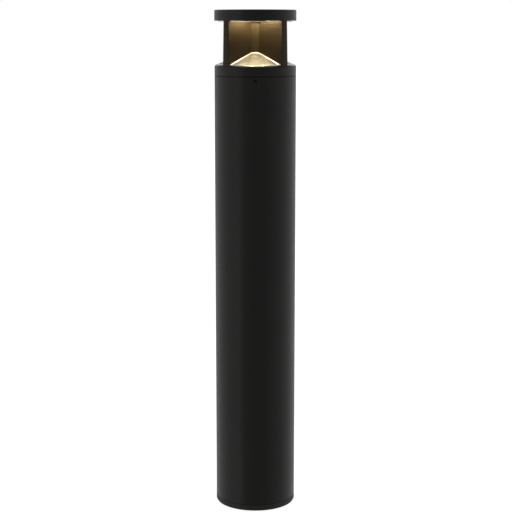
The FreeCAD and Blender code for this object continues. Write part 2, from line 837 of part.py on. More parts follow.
def drill_bolt_holes(body, level, depth):
    """Clearance holes for the four long bolts that hold the cap."""
    spacing = dim("cap_bolt_spacing")
    hole = drill(body, dim("cap_bolt_radius") + 0.25, depth, (spacing, spacing, level))
    pattern_round(body, [hole], 4)


def make_head_base():
    """Ring and floor of the head, with a spigot that fits inside the tube."""
    body = new_body("head_base")
    groove_half = dim("seal_section_radius") + 0.25
    groove_radius = spigot_radius - dim("seal_groove_depth")
    centre = dim("lead_bore_radius")
    turned(body, [
        (centre, floor_bottom), (spigot_inner, floor_bottom), (spigot_inner, head_spigot_bottom),
        (spigot_radius - 1.5, head_spigot_bottom), (spigot_radius, head_spigot_bottom + 3),
        (spigot_radius, seal_level - groove_half), (groove_radius, seal_level - groove_half),
        (groove_radius, seal_level + groove_half), (spigot_radius, seal_level + groove_half),
        (spigot_radius, ring_bottom), (tube_radius - edge_break, ring_bottom),
        (tube_radius, ring_bottom + edge_break), (tube_radius, ring_top - edge_break),
        (tube_radius - edge_break, ring_top), (centre, ring_top),
    ])
    drill_bolt_holes(body, floor_bottom - 2, dim("floor_thickness") + 4)
    x, y = polar(dim("reflector_boss_at"), 0)
    screw_hole = drill(body, 2.1, 12, (x, y, floor_bottom - 3))
    pattern_round(body, [screw_hole], 4)
    return body


def is_plate_end(edge):
    """True for the long upright corners where the plates' faces meet the round outside."""
    middle = edge.BoundBox.Center
    reach = math.hypot(middle.x, middle.y)
    return is_upright(edge) and edge.Length > 60 and reach > tube_radius.value - 1


def make_reflector(window, angle):
    """Cone sector that fills one window's floor, from the rim up to the post."""
    body = new_body(f"reflector_{window}")
    gap = dim("reflector_gap")
    rim_radius = dim("reflector_radius")
    rim_top = ring_top + dim("reflector_rim")
    post_face = dim("post_foot") / 2 + gap
    side = (dim("plate_foot") / 2 + gap) * math.sqrt(2)
    inner_x = post_face - side
    reach = as_size(65)
    far = as_size(95)
    slope = (dim("reflector_height") - dim("reflector_rim")) / (rim_radius - post_face)
    apex = rim_top + rim_radius * slope
    above = apex + 5
    # The sector's plan lies in front of the post, between the two plates.
    sketch = new_sketch(body, "XY_Plane", ring_top)
    outline(sketch, [
        (-inner_x, -post_face), (-reach, -(reach + side)), (-reach, -far), (reach, -far),
        (reach, -(reach + side)), (inner_x, -post_face),
    ])
    padded(body, sketch, above - ring_top - 1)
    turned(body, [(0, apex), (rim_radius, rim_top), (rim_radius, ring_top - 1),
                  (far + 40, ring_top - 1), (far + 40, above), (0, above)], "Groove")
    under = dim("reflector_skin")
    hollow_radius = rim_radius + (dim("reflector_rim") + 1 - under) / slope
    turned(body, [(0, ring_top - 1), (hollow_radius, ring_top - 1), (0, apex - under)], "Groove")
    boss_at = -dim("reflector_boss_at")
    boss_height = dim("reflector_rim") + slope * (rim_radius - dim("reflector_boss_at") - 6)
    body_cylinder(body, "Additive", dim("reflector_boss_radius"), boss_height, (0, boss_at, ring_top))
    drill(body, 1.9 + play, boss_height, (0, boss_at, ring_top - 1))
    body.Placement = Placement(Vector(), Rotation(UP, angle))
    return body


def make_reflector_screws():
    screws = []
    for angle in WINDOWS.values():
        x, y = polar(dim("reflector_boss_at"), angle)
        screws.append(pan_screw(1.9, 14, (x, y, floor_bottom), DOWN, 3.6, 2.4))
    return group("reflector_screws", screws)


def make_top_cap():
    """Cast cap: rim, recess for the lens and the lamp, and a boss that meets the post."""
    body = new_body("top_cap")
    lens_room = dim("lens_radius") + 0.5
    turned(body, [
        (0, total_height), (tube_radius, total_height), (tube_radius, cap_bottom), (lens_room, cap_bottom),
        (lens_room, gasket_top), (dim("cavity_radius"), gasket_top), (dim("cavity_radius"), cavity_top),
        (dim("boss_collar_radius"), cavity_top), (dim("boss_collar_radius"), gasket_top),
        (dim("boss_radius"), gasket_top), (dim("boss_radius"), cap_bottom),
        (dim("boss_bore_radius"), cap_bottom), (dim("boss_bore_radius"), cavity_top), (0, cavity_top),
    ])
    rounded(body, 2.5, lambda edge: is_rim(edge, total_height))
    rounded(body, 0.8, lambda edge: is_rim(edge, cap_bottom))
    half_slot = dim("wire_slot_width") / 2
    body_box(body, "Subtractive", (0, -half_slot, gasket_top + 0.5),
             (dim("boss_collar_radius") + 1, half_slot, cavity_top))
    spacing = dim("cap_bolt_spacing")
    tapped = drill(body, dim("cap_bolt_radius") + play, 14, (spacing, spacing, cap_bottom - 1))
    pattern_round(body, [tapped], 4)
    x, y = polar(dim("board_screw_at"), DIAGONAL)
    tapped = drill(body, 1.5 + play, 6, (x, y, cavity_top - 1))
    pattern_round(body, [tapped], 4)
    return body


def is_rim(edge, level):
    """True for the outermost round edge at a level."""
    box = edge.BoundBox
    return abs(box.ZMax - level.value) < 0.01 and box.XMax > tube_radius.value - 0.01 and \
        abs(box.ZMin - level.value) < 0.01


def make_cap_bolts():
    length = cap_bottom + 12 - floor_bottom
    bolts = []
    for angle in (45, 135, 225, 315):
        x, y = polar(dim("cap_bolt_spacing") * math.sqrt(2), angle)
        bolts.append(socket_screw(dim("cap_bolt_radius"), length, (x, y, floor_bottom), DOWN, 4.25, 5, 4))
    return group("cap_bolts", bolts)


def make_post_seal():
    return ring("post_seal", 7.5, 9.7, cap_bottom - 1.5, cap_bottom)


def make_lens():
    """Clear ring under the lamp, its outer edge standing just below the cap."""
    body = new_body("lens")
    radius = dim("lens_radius")
    turned(body, [(dim("lens_hole_radius"), lens_bottom), (radius - 0.6, lens_bottom),
                  (radius, lens_bottom + 0.6), (radius, lens_top), (dim("lens_hole_radius"), lens_top)])
    return body


def make_lens_gaskets():
    radius = dim("lens_radius")
    outer = ring("lens_gasket_outer", radius - dim("gasket_width"), radius, lens_top, gasket_top)
    inner = ring("lens_gasket_inner", dim("lens_hole_radius"), dim("boss_collar_radius"), lens_top,
                 gasket_top)
    return [outer, inner]


def make_lamp_ring(label, outer, low, high):
    """A ring under the cap with four holes for the board's screws."""
    body = new_body(label)
    inner = dim("board_hole_radius")
    turned(body, [(inner, low), (outer, low), (outer, high), (inner, high)])
    x, y = polar(dim("board_screw_at"), DIAGONAL)
    hole = drill(body, 1.6, 6, (x, y, low - 2))
    pattern_round(body, [hole], 4)
    return body


def make_thermal_pad():
    return make_lamp_ring("thermal_pad", dim("board_radius") + 1, board_top, cavity_top)


def make_led_board():
    """Ring-shaped aluminium-core board."""
    return make_lamp_ring("led_board", dim("board_radius"), board_bottom, board_top)


def chip_angles():
    """Four LEDs over each window."""
    return [window + offset for window in WINDOWS.values() for offset in (-30, -10, 10, 30)]


def make_led_chips():
    chips = []
    half = dim("chip_side") / 2
    for angle in chip_angles():
        low = (-half, -half, 0)
        chip = block(low, (half, half, dim("chip_height")))
        dome = doc.addObject("Part::Sphere", "dome")
        bind(dome, "Radius", half * 0.9)
        put(dome, (0, 0, dim("chip_height") * 0.6))
        x, y = polar(dim("chip_circle_radius"), angle)
        # Each chip hangs from the board with its dome down.
        flat_top = cut(fused(chip, dome), block((-5, -5, -6), (5, 5, 0)))
        turn = Rotation(UP, angle) * Rotation(Vector(1, 0, 0), 180)
        chips.append(put(flat_top, (x, y, board_bottom), turn))
    return group("led_chips", chips)


def make_led_board_screws():
    screws = []
    for angle in (45, 135, 225, 315):
        x, y = polar(dim("board_screw_at"), angle)
        screws.append(pan_screw(1.5, 6.5, (x, y, board_bottom), DOWN, 2.8, 1.8))
    return group("led_board_screws", screws)


connector_near = dim("board_hole_radius") + 1.5
wire_level = board_bottom - 2.5


def make_board_connector():
    """Push-in connector on the board, mouth towards the post."""
    body = new_body("board_connector")
    body_box(body, "Additive", (connector_near, -4, board_bottom - 5), (connector_near + 9, 4, board_bottom))
    for side in (-1, 1):
        drill(body, 0.95, 6, (connector_near - 1, side * 2, wire_level), Vector(1, 0, 0))
    return body


def make_led_wires():
    """Two cores that leave the jacket in the post, bend over and plug into the connector."""
    radius = 0.85
    bend = 5.5
    wires = []
    # The bend stands upright: it starts going up and ends level, towards the connector.
    upright = Rotation(Vector(1, 0, 0), 90) * Rotation(UP, 90)
    for side in (-1, 1):
        y = side * 2
        rise = cylinder(radius, wire_level - bend - jacket_top, (0, y, jacket_top))
        curve = quarter_bend(radius, bend, (bend, y, wire_level - bend), upright)
        level_run = cylinder(radius, connector_near + 4 - bend, (bend, y, wire_level), Vector(1, 0, 0))
        wires.append(fused(rise, curve, level_run))
    return group("led_wires", wires)


jacket_top = cap_bottom - 14
plug_top = socket_top + 42


def make_head_lead():
    """Jacketed lead that hangs from the gland down the middle of the tube to its plug."""
    return named(cylinder(dim("lead_radius"), jacket_top - plug_top, (0, 0, plug_top)), "head_lead")


def make_lead_gland():
    """Small gland, screwed up into the floor's bore."""
    hexed = hexagon(14, 5, (0, 0, floor_bottom - 5))
    thread = cylinder(dim("lead_bore_radius") - play, 12, (0, 0, floor_bottom - 8))
    hole = cylinder(dim("lead_radius") + play, 30, (0, 0, floor_bottom - 14))
    return named(cut(fused(hexed, thread), hole), "lead_gland")


def make_lead_gland_nut():
    low = floor_bottom - 14
    solid = fused(hexagon(14, 6, (0, 0, low + 2.8)), cone(5, 6.6, 2.8, (0, 0, low)))
    hollow = fused(cylinder(dim("lead_bore_radius"), 8, (0, 0, low + 5.9)),
                   cylinder(dim("lead_radius") + play, 20, (0, 0, low - 2)))
    return named(cut(solid, hollow), "lead_gland_nut")


def make_head_lead_plug():
    """Cable plug: spigot in the socket, ribbed grip and tapered strain relief."""
    shoulder = socket_top + dim("plug_play")
    grip = dim("plug_body_radius")
    pieces = [cylinder(dim("plug_radius"), 18, (0, 0, shoulder - 18)), cylinder(grip, 24, (0, 0, shoulder))]
    pieces.append(cone(grip * 0.7, dim("lead_radius") + 0.8, plug_top - shoulder - 24, (0, 0, shoulder + 24)))
    plug = fused(*pieces)
    for step in range(4):
        low = shoulder + 4 + step * 5
        plug = cut(plug, cut(cylinder(grip + 2, 2, (0, 0, low)), cylinder(grip - 0.8, 2, (0, 0, low))))
    return named(plug, "head_lead_plug")


# ---- Build, check and write ----------------------------------------------------------------------

def build():
    foot = [
        make_base_pad(), make_base_plate(), make_base_ring(), make_gear_tray(), make_tray_leg(),
        make_tray_foot(), make_tray_edges(), make_socket_tab(), make_tray_screws(),
        make_junction_box(), make_box_seal(), make_box_lid(), make_box_lid_screws(),
        make_box_fixing_screws(), make_terminal_block(), make_terminal_screws(), make_supply_gland(),
        make_supply_gland_locknut(), make_supply_gland_nut(), make_supply_gland_seal(),
        make_link_grommet(), make_link_lead(), make_driver_case(), make_driver_screws(),
        make_output_lead(), make_lead_socket(), make_socket_nut(), make_earth_screw(), make_earth_tag(),
        make_earth_lead(), make_earth_grommet(),
    ]
    tube = [
        make_body_tube(), set_screws("head_set_screws", head_screw_level, HEAD_SCREW_ANGLES),
        set_screws("base_set_screws", dim("base_screw_height"), BASE_SCREW_ANGLES), make_head_seal(),
    ]
    head = [
        make_head_base(), make_light_baffle(), make_reflector_screws(), make_top_cap(),
        make_cap_bolts(), make_post_seal(), make_lens(), make_thermal_pad(), make_led_board(),
        make_led_chips(), make_led_board_screws(), make_board_connector(), make_led_wires(),
        make_head_lead(), make_lead_gland(), make_lead_gland_nut(), make_head_lead_plug(),
    ]
    head += make_lens_gaskets()
    head += [make_reflector(window, angle) for window, angle in WINDOWS.items()]
    return foot + tube + head


def check(parts):
    """Stops if any object failed or any part is not a sound solid."""
    for thing in doc.Objects:
        if "Invalid" in thing.State or "Error" in thing.State:
            raise RuntimeError(f"{thing.Label} failed: {thing.State}")
    for part in parts:
        if part.Shape.isNull() or not part.Shape.isValid() or not part.Shape.Solids:
            raise RuntimeError(f"{part.Label} has no sound shape")


def write(parts):
    os.makedirs("parts", exist_ok=True)
    for part in parts:
        part.Shape.exportStep(f"parts/{part.Label}.step")
        print(f"{part.Label}: {len(part.Shape.Solids)} solids, {part.Shape.Volume:.0f} mm3")


all_parts = build()
doc.recompute()
check(all_parts)
write(all_parts)
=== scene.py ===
import json
import math

import bmesh
import bpy
from mathutils import Matrix, Vector


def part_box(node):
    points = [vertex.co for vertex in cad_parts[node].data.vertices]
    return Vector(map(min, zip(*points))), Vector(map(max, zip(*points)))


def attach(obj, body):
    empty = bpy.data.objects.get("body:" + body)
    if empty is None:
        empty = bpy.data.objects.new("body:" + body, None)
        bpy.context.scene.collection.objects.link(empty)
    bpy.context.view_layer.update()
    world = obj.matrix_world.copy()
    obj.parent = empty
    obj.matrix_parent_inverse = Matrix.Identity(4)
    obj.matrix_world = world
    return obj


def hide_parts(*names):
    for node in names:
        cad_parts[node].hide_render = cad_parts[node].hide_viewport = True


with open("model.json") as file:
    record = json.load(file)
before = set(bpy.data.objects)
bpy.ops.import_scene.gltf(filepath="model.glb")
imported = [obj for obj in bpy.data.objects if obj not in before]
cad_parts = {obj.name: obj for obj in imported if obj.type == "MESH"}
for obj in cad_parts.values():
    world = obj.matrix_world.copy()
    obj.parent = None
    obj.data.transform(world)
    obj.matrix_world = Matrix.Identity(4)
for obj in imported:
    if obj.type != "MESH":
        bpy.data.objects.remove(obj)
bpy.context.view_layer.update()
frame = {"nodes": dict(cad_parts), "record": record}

# Looks of a round path bollard light. Meshes are built in millimetres in the frame's own axes
# (+Z up, front window towards -Y) and stored in metres. Named lengths below are in millimetres.

MM = 0.001
FULL_TURN = 2 * math.pi
QUARTER_TURN = math.pi / 2

SMOOTH_ANGLE = math.radians(32)
MERGE_DISTANCE = 0.002
LEAST_MITRE = 0.4
ROUND_STEPS = 224
SLAB_CORNER_STEPS = 5
SLAB_EDGE_STEPS = 3
CUT_INSIDE = 2
CUT_OUTSIDE = 1

WINDOWS = ("front", "right", "back", "left")
LED_COLOUR = (1.0, 0.79, 0.41)


# ---- reading the frame --------------------------------------------------------------------------

def corners(node):
    """A CAD node's lowest and highest corner, in millimetres."""
    low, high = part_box(node)
    return low / MM, high / MM


def reaches(node):
    """The nearest and the farthest that a CAD node's vertices are from the Z axis, in millimetres."""
    lengths = [v.co.xy.length / MM for v in frame["nodes"][node].data.vertices]
    return min(lengths), max(lengths)


def polar(radius, angle):
    """The plan point at a radius, at an angle in radians round from the front towards the right."""
    return Vector((radius * math.sin(angle), -radius * math.cos(angle)))


# ---- outlines -----------------------------------------------------------------------------------

def rounded(corner_list, steps=6):
    """A closed outline through corners (x, y, radius), each rounded by its own radius."""
    outline = []
    before_list = corner_list[-1:] + corner_list[:-1]
    after_list = corner_list[1:] + corner_list[:1]
    for before, corner, after in zip(before_list, corner_list, after_list):
        here = Vector(corner[:2])
        radius = corner[2]
        if not radius:
            outline.append(here)
            continue
        to_before = (Vector(before[:2]) - here).normalized()
        to_after = (Vector(after[:2]) - here).normalized()
        half = to_before.angle(to_after) / 2
        centre = here + (to_before + to_after).normalized() * radius / math.sin(half)
        start = here + to_before * radius / math.tan(half) - centre
        end = here + to_after * radius / math.tan(half) - centre
        first = math.atan2(start.y, start.x)
        turn = (math.atan2(end.y, end.x) - first + math.pi) % FULL_TURN - math.pi
        for step in range(steps + 1):
            angle = first + turn * step / steps
            outline.append(centre + radius * Vector((math.cos(angle), math.sin(angle))))
    return outline


def inset(outline, distance):
    """The outline moved inwards by a distance, corner by corner."""
    moved = []
    for before, here, after in zip(outline[-1:] + outline[:-1], outline, outline[1:] + outline[:1]):
        first = (here - before).normalized()
        second = (after - here).normalized()
        normal = Vector((-first.y - second.y, first.x + second.x)).normalized()
        mitre = max(LEAST_MITRE, normal.dot(Vector((-first.y, first.x))))
        moved.append(here + normal * distance / mitre)
    return moved


# ---- meshes -------------------------------------------------------------------------------------

def piece(name, points, faces):
    """A mesh object from points in millimetres, with outward faces and sharp edges marked."""
    mesh = bpy.data.meshes.new(name)
    mesh.from_pydata([Vector(p) * MM for p in points], [], faces)
    made = bpy.data.objects.new(name, mesh)
    bpy.context.scene.collection.objects.link(made)
    finish_mesh(made)
    return made


def finish_mesh(made):
    """Merges coincident points, turns faces outward, and shades smooth up to the sharp edges."""
    shape = bmesh.new()
    shape.from_mesh(made.data)
    bmesh.ops.remove_doubles(shape, verts=shape.verts, dist=MERGE_DISTANCE * MM)
    bmesh.ops.recalc_face_normals(shape, faces=shape.faces)
    for face in shape.faces:
        face.smooth = True
    for edge in shape.edges:
        edge.smooth = len(edge.link_faces) == 2 and edge.calc_face_angle(0) < SMOOTH_ANGLE
    shape.to_mesh(made.data)
    shape.free()


def weight_normals(made):
    """Keeps broad faces flat where they meet small rounded edges."""
    made.modifiers.new("weighted", "WEIGHTED_NORMAL").keep_sharp = True


def band(here, there, count):
    """The faces between two rings of points, each given by the index of its first point."""
    faces = []
    for i in range(count):
        j = (i + 1) % count
        faces.append((here + i, here + j, there + j, there + i))
    return faces


def lathe(name, outline, steps=ROUND_STEPS):
    """A closed outline of (radius, height) turned round the Z axis; radius 0 lies on the axis."""
    points = []
    faces = []
    count = len(outline)
    for step in range(steps):
        angle = FULL_TURN * step / steps
        for radius, height in outline:
            flat = polar(radius, angle)
            points.append((flat.x, flat.y, height))
    for step in range(steps):
        strip = band(step * count, (step + 1) % steps * count, count)
        # A stretch of the outline that runs along the axis makes no face.
        faces += [strip[i] for i in range(count) if outline[i][0] or outline[(i + 1) % count][0]]
    return piece(name, points, faces)


def slab(name, width, depth, corner, low, high, edge):
    """A block centred on the Z axis, with rounded corners in plan and small rounded edges."""
    x = width / 2
    y = depth / 2
    plan = rounded([(x, -y, corner), (x, y, corner), (-x, y, corner), (-x, -y, corner)],
                   SLAB_CORNER_STEPS)
    levels = []
    for step in range(SLAB_EDGE_STEPS + 1):
        turn = QUARTER_TURN * step / SLAB_EDGE_STEPS
        levels.append((low + edge * (1 - math.sin(turn)), edge * (1 - math.cos(turn))))
    levels = levels[::-1] + [(high + low - level, distance) for level, distance in levels]
    points = [(p.x, p.y, level) for level, distance in levels for p in inset(plan, distance)]
    count = len(plan)
    faces = [list(range(count)), list(range(len(points) - count, len(points)))]
    for row in range(len(levels) - 1):
        faces += band(row * count, (row + 1) * count, count)
    return piece(name, points, faces)


def joined(name, parts):
    """Several pieces as one object, under a new name."""
    shape = bmesh.new()
    for part in parts:
        shape.from_mesh(part.data)
    mesh = bpy.data.meshes.new(name)
    shape.to_mesh(mesh)
    shape.free()
    for part in parts:
        bpy.data.objects.remove(part)
    made = bpy.data.objects.new(name, mesh)
    bpy.context.scene.collection.objects.link(made)
    return made


def carved(made, cutter):
    """Takes the cutter out of a piece for good."""
    carve = made.modifiers.new("carve", "BOOLEAN")
    carve.operation = "DIFFERENCE"
    carve.solver = "EXACT"
    carve.object = cutter
    depsgraph = bpy.context.evaluated_depsgraph_get()
    mesh = bpy.data.meshes.new_from_object(made.evaluated_get(depsgraph))
    made.modifiers.clear()
    made.data = mesh
    bpy.data.objects.remove(cutter)
    finish_mesh(made)
    return made


def stand_in(made, body, slot, node):
    """The piece rides on a body, takes a slot's finish, and stands for a CAD node."""
    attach(made, body)
    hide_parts(node)
    made.data.materials.clear()
    made.data.materials.append(FINISHES[slot])
    return made


def second_finish(made, finish, picks):
    """Gives another finish to the faces that a test picks."""
    made.data.materials.append(finish)
    for face in made.data.polygons:
        if picks(face):
            face.material_index = 1


# ---- material helpers ---------------------------------------------------------------------------

def shade(colour, factor):
    """A darker or lighter version of a colour."""
    return tuple(min(1.0, c * factor) for c in colour)


class Finish:
    """A Principled material whose inputs can be driven by procedural textures in frame coordinates."""

    def __init__(self, name, colour, roughness, **sockets):
        self.colour = colour
        self.material = bpy.data.materials.new(name)
        self.material.use_nodes = True
        self.nodes = self.material.node_tree.nodes
        self.links = self.material.node_tree.links
        self.shader = self.nodes["Principled BSDF"]
        self.shader.inputs["Base Color"].default_value = (*colour, 1)
        self.shader.inputs["Roughness"].default_value = roughness
        for socket, value in sockets.items():
            self.shader.inputs[socket.replace("_", " ")].default_value = value
        self.place = self.nodes.new("ShaderNodeTexCoord").outputs["Object"]

    def noise(self, size, detail):
        """Noise whose features are about size millimetres across."""
        noise = self.nodes.new("ShaderNodeTexNoise")
        noise.inputs["Scale"].default_value = 1 / (size * MM)
        noise.inputs["Detail"].default_value = detail
        self.links.new(self.place, noise.inputs["Vector"])
        return noise.outputs["Fac"]

    def cells(self, size):
        """Distance to the nearest of random points about size millimetres apart."""
        cells = self.nodes.new("ShaderNodeTexVoronoi")
        cells.inputs["Scale"].default_value = 1 / (size * MM)
        self.links.new(self.place, cells.inputs["Vector"])
        return cells.outputs["Distance"]

    def waves(self, scale):
        """A wave texture's node, placed in frame coordinates; its bands or rings are set by the caller."""
        waves = self.nodes.new("ShaderNodeTexWave")
        waves.inputs["Scale"].default_value = scale
        self.links.new(self.place, waves.inputs["Vector"])
        return waves

    def span(self, source, low, high, from_low=0.3, from_high=0.7):
        """Maps a texture's middle range on to low..high."""
        ranged = self.nodes.new("ShaderNodeMapRange")
        ranged.inputs["From Min"].default_value = from_low
        ranged.inputs["From Max"].default_value = from_high
        ranged.inputs["To Min"].default_value = low
        ranged.inputs["To Max"].default_value = high
        self.links.new(source, ranged.inputs["Value"])
        return ranged.outputs["Result"]

    def blend(self, source, low, high, from_low=0.3, from_high=0.7):
        """A colour between two, by a texture's middle range."""
        ramp = self.nodes.new("ShaderNodeValToRGB")
        first, last = ramp.color_ramp.elements
        first.position = from_low
        last.position = from_high
        first.color = (*low, 1)
        last.color = (*high, 1)
        self.links.new(source, ramp.inputs["Fac"])
        return ramp.outputs["Color"]

    def drive(self, socket, source):
        """Links a texture's output to one of the shader's inputs."""
        self.links.new(source, self.shader.inputs[socket])

    def vary_colour(self, source, darkest, lightest, *middle):
        """Lets the base colour wander between two shades of itself, as a texture does."""
        dark = shade(self.colour, darkest)
        light = shade(self.colour, lightest)
        self.drive("Base Color", self.blend(source, dark, light, *middle))

    def vary_roughness(self, source, low, high, *middle):
        """Lets the roughness wander between two values, as a texture does."""
        self.drive("Roughness", self.span(source, low, high, *middle))

    def bump(self, source, height, strength=1.0):
        """Raises the surface by a texture, by height millimetres; calls add up."""
        bump = self.nodes.new("ShaderNodeBump")
        bump.inputs["Strength"].default_value = strength
        bump.inputs["Distance"].default_value = height * MM
        self.links.new(source, bump.inputs["Height"])
        earlier = self.shader.inputs["Normal"].links
        if earlier:
            self.links.new(earlier[0].from_socket, bump.inputs["Normal"])
        self.links.new(bump.outputs["Normal"], self.shader.inputs["Normal"])


# ---- finishes, one for each material slot -------------------------------------------------------

def black_coat(name, colour, roughness, cloud_size):
    """Powder coat: orange peel, a fine grit and faint cloudy changes of colour and gloss."""
    finish = Finish(name, colour, roughness)
    finish.vary_colour(finish.noise(cloud_size, 4), 0.85, 1.15)
    finish.vary_roughness(finish.noise(22, 5), roughness - 0.03, roughness + 0.03)
    finish.bump(finish.noise(3.2, 1), 0.012)
    finish.bump(finish.noise(0.55, 2), 0.02, strength=0.5)
    return finish


def powder_coat():
    """The black coat of the tube, the cap and the head's casting."""
    return black_coat("powder_coat", (0.0150, 0.0138, 0.0122), 0.34, 60).material


def baffle_coat_painted_warm_light():
    """The same coat on the plates round the lamp, with the lamp's warm light painted into its colour."""
    # Painted light: the warmer base colour and the warm specular tint stand in for the lamp's light on the
    # plates.
    finish = black_coat("baffle_coat_painted_warm_light", (0.0165, 0.0125, 0.0085), 0.35, 40)
    finish.shader.inputs["Specular Tint"].default_value = (1.0, 0.80, 0.50, 1)
    return finish.material


def flange_coat_painted_floor_light():
    """A thicker, duller coat on the cast flange, with the casting's grain under it and the light from the
    floor below painted into its colour.
    """
    # Painted light: the base colour, about twice the tube's, stands in for the light thrown up from the
    # floor.
    finish = Finish("flange_coat_painted_floor_light", (0.0290, 0.0275, 0.0262), 0.56)
    finish.vary_colour(finish.noise(25, 5), 0.85, 1.15)
    finish.vary_roughness(finish.noise(9, 5), 0.50, 0.62)
    finish.bump(finish.noise(2.0, 3), 0.03)
    finish.bump(finish.noise(0.5, 2), 0.02, strength=0.5)
    return finish.material


def two_cores():
    """Insulation of the two thin wires: red on one side of the row's middle, black on the other."""
    red = (0.42, 0.03, 0.025)
    black = (0.02, 0.02, 0.02)
    border = 0.1 * MM
    finish = Finish("core_insulation", red, 0.36)
    sides = finish.nodes.new("ShaderNodeSeparateXYZ")
    finish.links.new(finish.place, sides.inputs["Vector"])
    side = finish.span(sides.outputs["Y"], 0, 1, -border, border)
    finish.drive("Base Color", finish.blend(side, red, black, 0.4, 0.6))
    finish.vary_roughness(finish.noise(1.5, 3), 0.30, 0.42)
    finish.bump(finish.noise(0.5, 2), 0.01)
    return finish.material


def rubber(name, colour, roughness):
    """Moulded rubber with a dry, slightly dusty skin."""
    finish = Finish(name, colour, roughness, Specular_IOR_Level=0.35)
    finish.vary_colour(finish.noise(9, 6), 0.8, 1.5)
    finish.vary_roughness(finish.noise(2.5, 4), roughness - 0.08, roughness + 0.08)
    finish.bump(finish.noise(0.5, 3), 0.03)
    return finish.material


def silicone():
    """Milky silicone."""
    finish = Finish("silicone", (0.62, 0.62, 0.60), 0.5, Subsurface_Weight=0.25)
    finish.shader.inputs["Subsurface Radius"].default_value = (4 * MM, 4 * MM, 4 * MM)
    finish.vary_colour(finish.noise(6, 4), 0.89, 1.1)
    finish.bump(finish.noise(0.7, 2), 0.02)
    return finish.material


def metal(name, colour, roughness, size):
    """Bare or plated metal with fine marks of working, about size millimetres across."""
    finish = Finish(name, colour, roughness, Metallic=1.0)
    marks = finish.noise(size, 4)
    finish.vary_colour(marks, 0.86, 1.08)
    finish.vary_roughness(finish.noise(size * 3, 5), roughness - 0.07, roughness + 0.09)
    finish.bump(marks, 0.01)
    return finish.material


def zinc_sheet():
    """Zinc-plated sheet with its patchy spangle."""
    finish = Finish("zinc_sheet", (0.56, 0.57, 0.58), 0.36, Metallic=1.0)
    finish.vary_colour(finish.cells(7), 0.8, 1.2, 0.1, 0.8)
    finish.vary_roughness(finish.noise(5, 5), 0.28, 0.46)
    finish.bump(finish.noise(1.2, 4), 0.01)
    return finish.material


def plastic(name, colour, roughness, grain=0.6):
    """Moulded plastic with a spark-eroded texture, its grain in millimetres."""
    finish = Finish(name, colour, roughness)
    finish.vary_colour(finish.noise(25, 4), 0.93, 1.05)
    finish.vary_roughness(finish.noise(3, 4), roughness - 0.05, roughness + 0.06)
    finish.bump(finish.noise(grain, 2), 0.018)
    return finish.material


def striped_wire():
    """Earth lead: green insulation with a yellow stripe."""
    green = (0.03, 0.25, 0.04)
    yellow = (0.75, 0.62, 0.04)
    finish = Finish("earth_wire", green, 0.34)
    waves = finish.waves(55)
    waves.bands_direction = "DIAGONAL"
    finish.drive("Base Color", finish.blend(waves.outputs["Fac"], green, yellow, 0.48, 0.52))
    finish.bump(finish.noise(1.5, 2), 0.01)
    return finish.material


def reflector_metal(name, colour):
    """Satin anodised aluminium with a faint spun grain."""
    finish = Finish(name, colour, 0.29, Metallic=0.86)
    finish.vary_roughness(finish.noise(30, 0), 0.27, 0.31, 0.0, 1.0)
    finish.vary_colour(finish.noise(24, 0), 0.93, 1.06, 0.0, 1.0)
    finish.bump(finish.noise(0.8, 0), 0.0006)
    return finish.material


def lens_clear():
    """Toughened glass, faintly dusty."""
    finish = Finish("lens_clear", (0.96, 0.98, 0.96), 0.03, Transmission_Weight=1.0, IOR=1.5)
    finish.vary_roughness(finish.noise(15, 6), 0.02, 0.07)
    return finish.material


def lens_edge_painted_glow():
    """The lens's ground edge, with a painted glow: a faint emission stands in for the light that runs
    along the glass.
    """
    # The emission is painted glow, not a lamp.
    finish = Finish("lens_edge_painted_glow", (0.8, 0.78, 0.7), 0.5, Emission_Strength=0.25)
    finish.shader.inputs["Emission Color"].default_value = (1.0, 0.79, 0.58, 1)
    finish.bump(finish.noise(0.6, 2), 0.02)
    return finish.material


def board_mask():
    """White solder mask with the copper rings showing through as faint relief."""
    finish = Finish("board_mask", (0.86, 0.86, 0.84), 0.33)
    waves = finish.waves(45)
    waves.wave_type = "RINGS"
    waves.rings_direction = "Z"
    finish.vary_colour(waves.outputs["Fac"], 0.88, 1.0, 0.4, 0.6)
    finish.bump(finish.span(waves.outputs["Fac"], 0, 1, 0.4, 0.6), 0.035)
    return finish.material


def led_phosphor():
    """Warm white phosphor, lit."""
    finish = Finish("led_phosphor", (1.0, 0.72, 0.25), 0.3, Emission_Strength=14.0)
    finish.shader.inputs["Emission Color"].default_value = (*LED_COLOUR, 1)
    finish.bump(finish.noise(0.4, 2), 0.02)
    return finish.material


